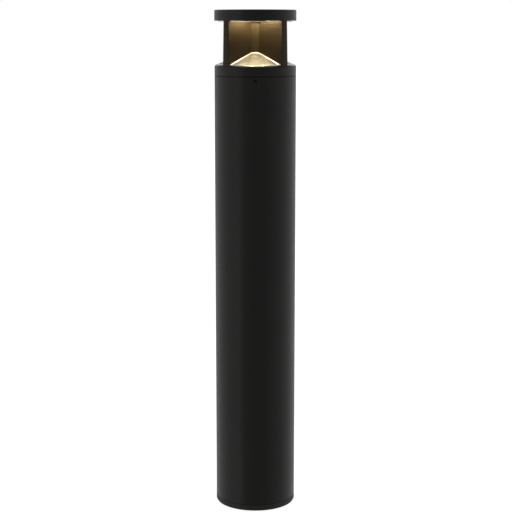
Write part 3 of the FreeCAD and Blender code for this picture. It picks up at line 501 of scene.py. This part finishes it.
FINISHES = {
    "powder_coat": powder_coat(),
    "pad_rubber": rubber("pad_rubber", (0.007, 0.007, 0.007), 0.78),
    "silicone": silicone(),
    "zinc_sheet": zinc_sheet(),
    "steel_fastener": metal("steel_fastener", (0.62, 0.61, 0.60), 0.27, 0.7),
    "dark_fastener": metal("dark_fastener", (0.07, 0.07, 0.075), 0.4, 0.6),
    "box_plastic": plastic("box_plastic", (0.50, 0.51, 0.52), 0.5),
    "terminal_plastic": plastic("terminal_plastic", (0.74, 0.74, 0.69), 0.42),
    "brass": metal("brass", (0.72, 0.55, 0.26), 0.28, 0.5),
    "gland_nylon": plastic("gland_nylon", (0.022, 0.022, 0.024), 0.4, grain=0.4),
    "gland_metal": metal("gland_metal", (0.62, 0.60, 0.56), 0.22, 0.9),
    "driver_shell": plastic("driver_shell", (0.76, 0.76, 0.74), 0.45, grain=0.8),
    "lead_jacket": rubber("lead_jacket", (0.02, 0.02, 0.02), 0.5),
    "earth_wire": striped_wire(),
    "tin_plate": metal("tin_plate", (0.70, 0.69, 0.66), 0.3, 1.2),
    "reflector_finish": reflector_metal("reflector_finish", (0.43, 0.455, 0.53)),
    "lens_clear": lens_clear(),
    "board_mask": board_mask(),
    "led_phosphor": led_phosphor(),
    "core_insulation": two_cores(),
}

# Two nodes of the powder_coat slot look a little different from the rest: the baffle's warm tint is
# painted lamp light, and the flange's lighter colour is painted floor light.
NODE_FINISHES = {
    "light_baffle": baffle_coat_painted_warm_light(),
    "base_plate": flange_coat_painted_floor_light(),
}

# The reflector's rolled edge takes a much lighter copy of the field's finish: a painted highlight along
# the bead.
BEAD_PAINTED_HIGHLIGHT = reflector_metal("reflector_bead_painted_highlight", (0.80, 0.82, 0.86))


def dress_cad_nodes():
    """Gives each CAD node its own finish, or that of its material slot."""
    for part in frame["record"]["subparts"]:
        node = frame["nodes"][part["node"]]
        finish = NODE_FINISHES.get(part["node"], FINISHES[part["material_slot"]])
        for place in node.material_slots:
            place.material = finish


# ---- tube and set screws ------------------------------------------------------------------------

TUBE_WALL = 5
TUBE_INNER_EDGE = 0.5
TUBE_OUTER_EDGE = 0.45

HOLE_RADIUS = 3.0
HOLE_MOUTH = 3.9
HOLE_STEPS = 40

# Where the screws stand, in degrees round from the front towards the right.
SCREW_TURNS = {"head_set_screws": (0, 120, 240), "base_set_screws": (90, 180, 270)}
SCREW_STEPS = 36
THREAD_PITCH = 1.0
THREAD_DEPTH = 0.45
CUP_RADIUS = 1.4
CUP_DEPTH = 0.8
PLAIN_END = 0.6
SCREW_BEVEL = 0.3
SCREW_SINK = 0.1
HEXAGON = 6
SOCKET_RADIUS = 1.75
SOCKET_DEPTH = 3.6
SOCKET_POINT = 0.8


def lay_radially(made, node, turn):
    """Turns a piece so that its height becomes the distance from the tube's axis, level with a node."""
    low, high = corners(node)
    level = (low.z + high.z) / 2
    place = Matrix.Rotation(math.radians(turn), 4, "Z") @ Matrix.Translation((0, 0, level * MM))
    made.data.transform(place @ Matrix.Rotation(QUARTER_TURN, 4, "X"))


def make_tube():
    """The round tube, with a chamfered hole over each set screw."""
    low, high = corners("body_tube")
    radius = high.x
    inner = radius - TUBE_WALL
    outline = rounded([(inner, low.z, TUBE_INNER_EDGE), (radius, low.z, TUBE_OUTER_EDGE),
                       (radius, high.z, TUBE_OUTER_EDGE), (inner, high.z, TUBE_INNER_EDGE)])
    tube = lathe("tube_shell", outline)
    chamfer = HOLE_MOUTH - HOLE_RADIUS
    bore = [(0, inner - CUT_INSIDE), (HOLE_RADIUS, inner - CUT_INSIDE), (HOLE_RADIUS, radius - chamfer),
            (HOLE_MOUTH + CUT_OUTSIDE, radius + CUT_OUTSIDE), (0, radius + CUT_OUTSIDE)]
    holes = []
    for node, turns in SCREW_TURNS.items():
        for turn in turns:
            hole = lathe(f"hole_{len(holes)}", bore, HOLE_STEPS)
            lay_radially(hole, node, turn)
            holes.append(hole)
    made = carved(tube, joined("holes", holes))
    weight_normals(stand_in(made, "tube", "powder_coat", "body_tube"))


def screw_outline(node):
    """Half the section of a set screw: cup point, ridges of thread and a bevelled outer end."""
    inner, outer = reaches(node)
    low, high = corners(node)
    crest = (high.z - low.z) / 2
    root = crest - THREAD_DEPTH
    face = outer - SCREW_SINK
    outline = [(0, inner + CUP_DEPTH), (CUP_RADIUS, inner), (root, inner)]
    ridges = int((outer - inner - 2 * PLAIN_END) / THREAD_PITCH)
    for ridge in range(ridges):
        start = inner + PLAIN_END + ridge * THREAD_PITCH
        outline += [(root, start), (crest, start + THREAD_PITCH / 2)]
    return outline + [(root, face - SCREW_BEVEL), (root - SCREW_BEVEL, face), (0, face)]


def make_set_screws(node):
    """Threaded set screws with a cup point and a hexagon socket, one at each turn."""
    outline = screw_outline(node)
    outer = reaches(node)[1]
    floor = outer - SOCKET_DEPTH
    recess = [(0, floor - SOCKET_POINT), (SOCKET_RADIUS, floor), (SOCKET_RADIUS, outer + CUT_OUTSIDE),
              (0, outer + CUT_OUTSIDE)]
    screws = []
    for turn in SCREW_TURNS[node]:
        screw = lathe(f"screw_{turn}", outline, SCREW_STEPS)
        screw = carved(screw, lathe(f"socket_{turn}", recess, HEXAGON))
        lay_radially(screw, node, turn)
        screws.append(screw)
    stand_in(joined(node + "_threaded", screws), "tube", "dark_fastener", node)


# ---- reflectors ---------------------------------------------------------------------------------

BEAD_WIDTH = 1.4
BEAD_HEIGHT = 0.9
BEAD_STEPS = 10
REFLECTOR_SLOPE = 0.428
REFLECTOR_RIM = 1.45
REFLECTOR_SHEET = 0.7
REFLECTOR_FLATNESS = 0.84
REFLECTOR_CORNER = 7.2
REFLECTOR_CORNER_STEPS = 8
SIDE_STEPS = 26
RIM_STEPS = 48
FIELD_STEPS = 14


def reflector_outline(inner, half_inner, rim, half_rim):
    """The reflector's plan: a short edge at the post, two straight sides and the round rim."""
    far = math.asin(half_rim / rim)
    outline = rounded([(half_inner, -inner, REFLECTOR_CORNER), (-half_inner, -inner, REFLECTOR_CORNER),
                       (-half_rim, -rim * math.cos(far), 0), (half_rim, -rim * math.cos(far), 0)],
                      REFLECTOR_CORNER_STEPS)
    left, right = outline[-2:]
    inner_left, inner_right = outline[-3], outline[0]
    # The straight sides and the rim get enough points of their own to follow the cone.
    down = [inner_left.lerp(left, i / SIDE_STEPS) for i in range(1, SIDE_STEPS)]
    round_rim = [polar(rim, -far + 2 * far * i / RIM_STEPS) for i in range(RIM_STEPS + 1)]
    up = [right.lerp(inner_right, i / SIDE_STEPS) for i in range(1, SIDE_STEPS)]
    plan = outline[:-2] + down + round_rim + up
    # The inset moves points to the left of the way round, so the way round is made to suit it.
    if inset(plan, 1)[0].y > plan[0].y:
        plan.reverse()
    return plan


def reflector_top(plan, middle, cone):
    """Rings of points over the rolled bead and then down the field, to one point in its middle."""
    rings = []
    for step in range(BEAD_STEPS + 1):
        turn = math.pi * step / BEAD_STEPS
        flats = inset(plan, BEAD_WIDTH * (1 - math.cos(turn)))
        rings.append([(p.x, p.y, cone(p) + BEAD_HEIGHT * math.sin(turn)) for p in flats])
    edge = inset(plan, 2 * BEAD_WIDTH)
    for step in range(1, FIELD_STEPS + 1):
        flats = [point.lerp(middle, step / FIELD_STEPS) for point in edge]
        rings.append([(p.x, p.y, cone(p)) for p in flats])
    return rings


def make_reflector(window, quarter):
    """A slice of a flattened cone in sheet metal, with a rolled bead all round its edge.

    All four have the shape of the front one, and each is turned into its own window.
    """
    low, high = corners("reflector_front")
    rim = -low.y
    inner = -high.y
    half_rim = high.x
    # The two sides follow the plates, at 45 degrees to the window.
    half_inner = half_rim - (rim * math.cos(math.asin(half_rim / rim)) - inner)
    plan = reflector_outline(inner, half_inner, rim, half_rim)

    def cone(flat):
        """The height of the cone's sheet at a plan point, where the bead stands on it."""
        reach = math.hypot(flat.x * REFLECTOR_FLATNESS, flat.y)
        return low.z + REFLECTOR_RIM + REFLECTOR_SLOPE * (rim - reach) - BEAD_HEIGHT

    top = reflector_top(plan, Vector((0, -(inner + rim) / 2)), cone)
    under = []
    for ring in reversed(top):
        flats = [Vector(point[:2]) for point in ring]
        under.append([(p.x, p.y, max(low.z, cone(p) - REFLECTOR_SHEET)) for p in flats])
    rings = top + under
    count = len(plan)
    faces = []
    for row in range(len(rings)):
        # Nothing joins the middle point above to the one below.
        if row != len(top) - 1:
            faces += band(row * count, (row + 1) % len(rings) * count, count)
    made = piece(f"reflector_{window}_shell", [point for ring in rings for point in ring], faces)
    made.data.transform(Matrix.Rotation(quarter * QUARTER_TURN, 4, "Z"))
    stand_in(made, "head", "reflector_finish", f"reflector_{window}")
    # The bead's faces take the lighter finish, a painted highlight.
    second_finish(made, BEAD_PAINTED_HIGHLIGHT, lambda face: face.index < BEAD_STEPS * count)


# ---- lamp ---------------------------------------------------------------------------------------

LENS_LOWER_EDGE = 0.4
LENS_UPPER_EDGE = 0.3
LENS_PAINTED_GLOW_HEIGHT = 1.1
CHIP_CIRCLE = 46
# Degrees from the middle of each window.
CHIP_TURNS = (-30, -10, 10, 30)
PACKAGE_SIDE = 3.5
PACKAGE_CORNER = 0.35
PACKAGE_EDGE = 0.12
PACKAGE_HEIGHT = 0.5
DOME_RADIUS = 1.45
DOME_HEIGHT = 0.65
DOME_STEPS = 20
# Degrees from the dome's tip.
DOME_TURNS = range(3, 91, 8)
LED_POWER = 0.040
LED_LIGHT_SIZE = 3.2
LED_LIGHT_DROP = 0.3


def make_lens():
    """A clear ring whose ground outer edge has a painted glow below the cap."""
    low, high = corners("lens")
    hole = reaches("lens")[0]
    radius = high.x
    painted_glow_top = low.z + LENS_PAINTED_GLOW_HEIGHT
    outline = rounded([(hole, low.z, LENS_LOWER_EDGE), (radius, low.z, LENS_LOWER_EDGE),
                       (radius, high.z, LENS_UPPER_EDGE), (hole, high.z, LENS_UPPER_EDGE)])
    # One more point on the outer edge, where the painted glow ends, put in its place in the way round.
    outline.append(Vector((radius, painted_glow_top)))
    outline.sort(key=lambda p: math.atan2(p.y - (low.z + high.z) / 2, p.x - (hole + radius) / 2))
    made = stand_in(lathe("lens_ring", outline), "head", "lens_clear", "lens")
    edge = radius - LENS_LOWER_EDGE
    # The lowest band of the outer edge takes the emissive finish: a painted glow, not a lamp.
    second_finish(made, lens_edge_painted_glow(),
                  lambda face: face.center.xy.length > edge * MM and face.center.z < painted_glow_top * MM)
    # The sources' light reaches the windows through the glass.
    made.visible_shadow = False
    weight_normals(made)


def chip_angles():
    """Where the light sources stand round the lamp ring: four in each window."""
    return [math.radians(90 * window + turn) for window in range(len(WINDOWS)) for turn in CHIP_TURNS]


def make_led_packages():
    """White packages under the board, each with a yellow dome."""
    board = corners("led_chips")[1].z
    under = board - PACKAGE_HEIGHT
    arc = []
    for degrees in DOME_TURNS:
        turn = math.radians(degrees)
        arc.append((DOME_RADIUS * math.sin(turn), under - DOME_HEIGHT * math.cos(turn)))
    section = [(0, arc[0][1])] + arc + [(0, arc[-1][1])]
    packages = []
    domes = []
    for number, angle in enumerate(chip_angles()):
        place = Matrix.Rotation(angle, 4, "Z") @ Matrix.Translation((0, -CHIP_CIRCLE * MM, 0))
        package = slab(f"package_{number}", PACKAGE_SIDE, PACKAGE_SIDE, PACKAGE_CORNER, under, board,
                       PACKAGE_EDGE)
        dome = lathe(f"dome_{number}", section, DOME_STEPS)
        for made in (package, dome):
            made.data.transform(place)
        packages.append(package)
        domes.append(dome)
    stand_in(joined("led_packages", packages), "head", "terminal_plastic", "led_chips")
    stand_in(joined("led_domes", domes), "head", "led_phosphor", "led_chips")


def make_lamp_light():
    """The light of each source. An area light that isn't turned shines straight down."""
    level = corners("led_chips")[0].z - LED_LIGHT_DROP
    for number, angle in enumerate(chip_angles()):
        name = f"lamp_light_{number}"
        light = bpy.data.lights.new(name, "AREA")
        light.shape = "DISK"
        light.size = LED_LIGHT_SIZE * MM
        light.energy = LED_POWER
        light.color = LED_COLOUR
        made = bpy.data.objects.new(name, light)
        made.location = polar(CHIP_CIRCLE, angle).to_3d() * MM + Vector((0, 0, level)) * MM
        made.visible_camera = False
        bpy.context.scene.collection.objects.link(made)
        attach(made, "head")


# ---- gear inside the tube -----------------------------------------------------------------------

DRIVER_CORNER = 3
DRIVER_END = 13
DRIVER_STEP = 0.8
DRIVER_OVERLAP = 1
DRIVER_BODY_EDGE = 0.3
DRIVER_CAP_EDGE = 0.7

RIB_PLACES = (-14, 0, 14)
RIB_SIDE = 2
RIB_CORNER = 0.6
RIB_EDGE = 0.2
RIB_OVERLAP = 0.5
RIB_SETBACK = 1.2

LID_CORNER = 4
LID_EDGE = 0.5
LID_STEP = 0.8
LID_MARGIN = 12
LID_FIELD_CORNER = 3
LID_FIELD_EDGE = 0.4
LID_ROOT = 2
BOSS_RADIUS = 4.6
BOSS_BEVEL = 0.3
BOSS_STEPS = 36
SCREW_HEAD = 2.9


def make_driver():
    """The driver's extruded case with three shallow ribs, between two moulded end caps."""
    low, high = corners("driver_case")
    width = high.x - low.x
    depth = high.y - low.y
    start = low.z + DRIVER_END
    end = high.z - DRIVER_END
    case = [slab("driver_middle", width - 2 * DRIVER_STEP, depth - 2 * DRIVER_STEP,
                 DRIVER_CORNER - DRIVER_STEP, start - DRIVER_OVERLAP, end + DRIVER_OVERLAP,
                 DRIVER_BODY_EDGE)]
    for x in RIB_PLACES:
        rib = slab(f"driver_rib_{x}", RIB_SIDE, RIB_SIDE, RIB_CORNER, start - RIB_OVERLAP,
                   end + RIB_OVERLAP, RIB_EDGE)
        rib.data.transform(Matrix.Translation(Vector((x, low.y + RIB_SETBACK, 0)) * MM))
        case.append(rib)
    stand_in(joined("driver_body", case), "foot", "driver_shell", "driver_case")
    ends = [slab("driver_foot", width, depth, DRIVER_CORNER, low.z, start, DRIVER_CAP_EDGE),
            slab("driver_head", width, depth, DRIVER_CORNER, end, high.z, DRIVER_CAP_EDGE)]
    stand_in(joined("driver_end_caps", ends), "foot", "box_plastic", "driver_case")


def make_lid():
    """The junction box's lid: a rounded plate, a raised middle and a boss round each screw."""
    low, high = corners("box_lid")
    screws_low, screws_high = corners("box_lid_screws")
    width = high.x - low.x
    height = high.z - low.z
    across = (screws_high.x - screws_low.x) / 2 - SCREW_HEAD
    along = (screws_high.z - screws_low.z) / 2 - SCREW_HEAD
    # Made lying down: the plate's height here becomes its distance in front of the Z axis.
    front = -low.y
    root = front - LID_ROOT
    section = [(0, root), (BOSS_RADIUS, root), (BOSS_RADIUS, front - BOSS_BEVEL),
               (BOSS_RADIUS - BOSS_BEVEL, front), (0, front)]
    parts = [slab("lid_plate", width, height, LID_CORNER, -high.y, front - LID_STEP, LID_EDGE),
             slab("lid_field", width - 2 * LID_MARGIN, height - 2 * LID_MARGIN, LID_FIELD_CORNER,
                  root, front, LID_FIELD_EDGE)]
    for x in (-across, across):
        for y in (-along, along):
            boss = lathe(f"lid_boss_{len(parts)}", section, BOSS_STEPS)
            boss.data.transform(Matrix.Translation(Vector((x, y, 0)) * MM))
            parts.append(boss)
    made = joined("lid_shell", parts)
    upright = Matrix.Rotation(QUARTER_TURN, 4, "X")
    made.data.transform(Matrix.Translation((0, 0, (low.z + high.z) / 2 * MM)) @ upright)
    stand_in(made, "foot", "box_plastic", "box_lid")


# ---- stage, camera and surroundings -------------------------------------------------------------

# Here the floor's radius and the camera's place are in metres, and its tilt is in degrees.
FLOOR_RADIUS = 30
FLOOR_GREYS = (0.88, 0.92)
FLOOR_GLOW = 0.80
FLOOR_ROUGHNESS = 0.9
FLOOR_CLOUDS = 3

CAMERA_PLACE = (0.0014, -2.5716, 0.9678)
CAMERA_TILT = 10.125
CAMERA_LENS = 91.35
CAMERA_SENSOR = 36
CAMERA_END = 100

# Brightness of the studio round the horizon, as turns from the left side through the front.
STUDIO_RING = [(0.0, 0.43), (0.06, 0.39), (0.125, 0.52), (0.145, 0.21), (0.25, 0.185), (0.36, 0.20),
               (0.40, 0.30), (0.44, 0.29), (0.52, 0.46), (0.62, 0.62), (0.69, 0.62), (0.72, 0.26),
               (0.78, 0.26), (0.81, 0.56), (0.90, 0.52), (1.0, 0.43)]


def make_floor():
    """A wide pale floor that fades into the white background."""
    bpy.ops.mesh.primitive_circle_add(vertices=128, radius=FLOOR_RADIUS, fill_type="NGON")
    floor = bpy.context.object
    floor.name = "studio_floor"
    paint = bpy.data.materials.new("floor_paint")
    paint.use_nodes = True
    nodes = paint.node_tree.nodes
    links = paint.node_tree.links
    shader = nodes["Principled BSDF"]
    shader.inputs["Roughness"].default_value = FLOOR_ROUGHNESS
    shader.inputs["Emission Color"].default_value = (1, 1, 1, 1)
    shader.inputs["Emission Strength"].default_value = FLOOR_GLOW
    noise = nodes.new("ShaderNodeTexNoise")
    noise.inputs["Scale"].default_value = FLOOR_CLOUDS
    ramp = nodes.new("ShaderNodeValToRGB")
    for stop, grey in zip(ramp.color_ramp.elements, FLOOR_GREYS):
        stop.color = (grey, grey, grey, 1)
    links.new(noise.outputs["Fac"], ramp.inputs["Fac"])
    links.new(ramp.outputs["Color"], shader.inputs["Base Color"])
    floor.data.materials.append(paint)
    floor.visible_glossy = False
    floor.visible_diffuse = False


def make_camera():
    """A long lens in front, level with the head and tilted down to take in the foot."""
    lens = bpy.data.cameras.new("camera")
    lens.lens = CAMERA_LENS
    lens.sensor_width = CAMERA_SENSOR
    lens.clip_end = CAMERA_END
    camera = bpy.data.objects.new("camera", lens)
    camera.location = CAMERA_PLACE
    camera.rotation_euler = (math.radians(90 - CAMERA_TILT), 0, 0)
    bpy.context.scene.collection.objects.link(camera)
    bpy.context.scene.camera = camera


def make_world():
    """White behind the object, and a soft dim studio round it for light and reflections."""
    world = bpy.data.worlds.new("studio")
    bpy.context.scene.world = world
    world.use_nodes = True
    nodes = world.node_tree.nodes
    links = world.node_tree.links
    nodes.clear()
    place = nodes.new("ShaderNodeTexCoord")
    ring = nodes.new("ShaderNodeTexGradient")
    ring.gradient_type = "RADIAL"
    links.new(place.outputs["Generated"], ring.inputs["Vector"])
    ramp = nodes.new("ShaderNodeValToRGB")
    stops = ramp.color_ramp.elements
    while len(stops) < len(STUDIO_RING):
        stops.new(1.0)
    for stop, (position, grey) in zip(stops, STUDIO_RING):
        stop.position = position
        stop.color = (grey, grey, grey, 1)
    links.new(ring.outputs["Color"], ramp.inputs["Fac"])
    around = nodes.new("ShaderNodeBackground")
    links.new(ramp.outputs["Color"], around.inputs["Color"])
    behind = nodes.new("ShaderNodeBackground")
    behind.inputs["Color"].default_value = (1, 1, 1, 1)
    path = nodes.new("ShaderNodeLightPath")
    mix = nodes.new("ShaderNodeMixShader")
    links.new(path.outputs["Is Camera Ray"], mix.inputs["Fac"])
    links.new(around.outputs["Background"], mix.inputs[1])
    links.new(behind.outputs["Background"], mix.inputs[2])
    output = nodes.new("ShaderNodeOutputWorld")
    links.new(mix.outputs["Shader"], output.inputs["Surface"])


def main():
    dress_cad_nodes()
    for quarter, window in enumerate(WINDOWS):
        make_reflector(window, quarter)
    make_tube()
    for node in SCREW_TURNS:
        make_set_screws(node)
    make_lens()
    make_led_packages()
    make_driver()
    make_lid()
    make_floor()
    make_camera()
    make_world()
    make_lamp_light()
    bpy.context.scene.view_settings.view_transform = "Standard"


main()
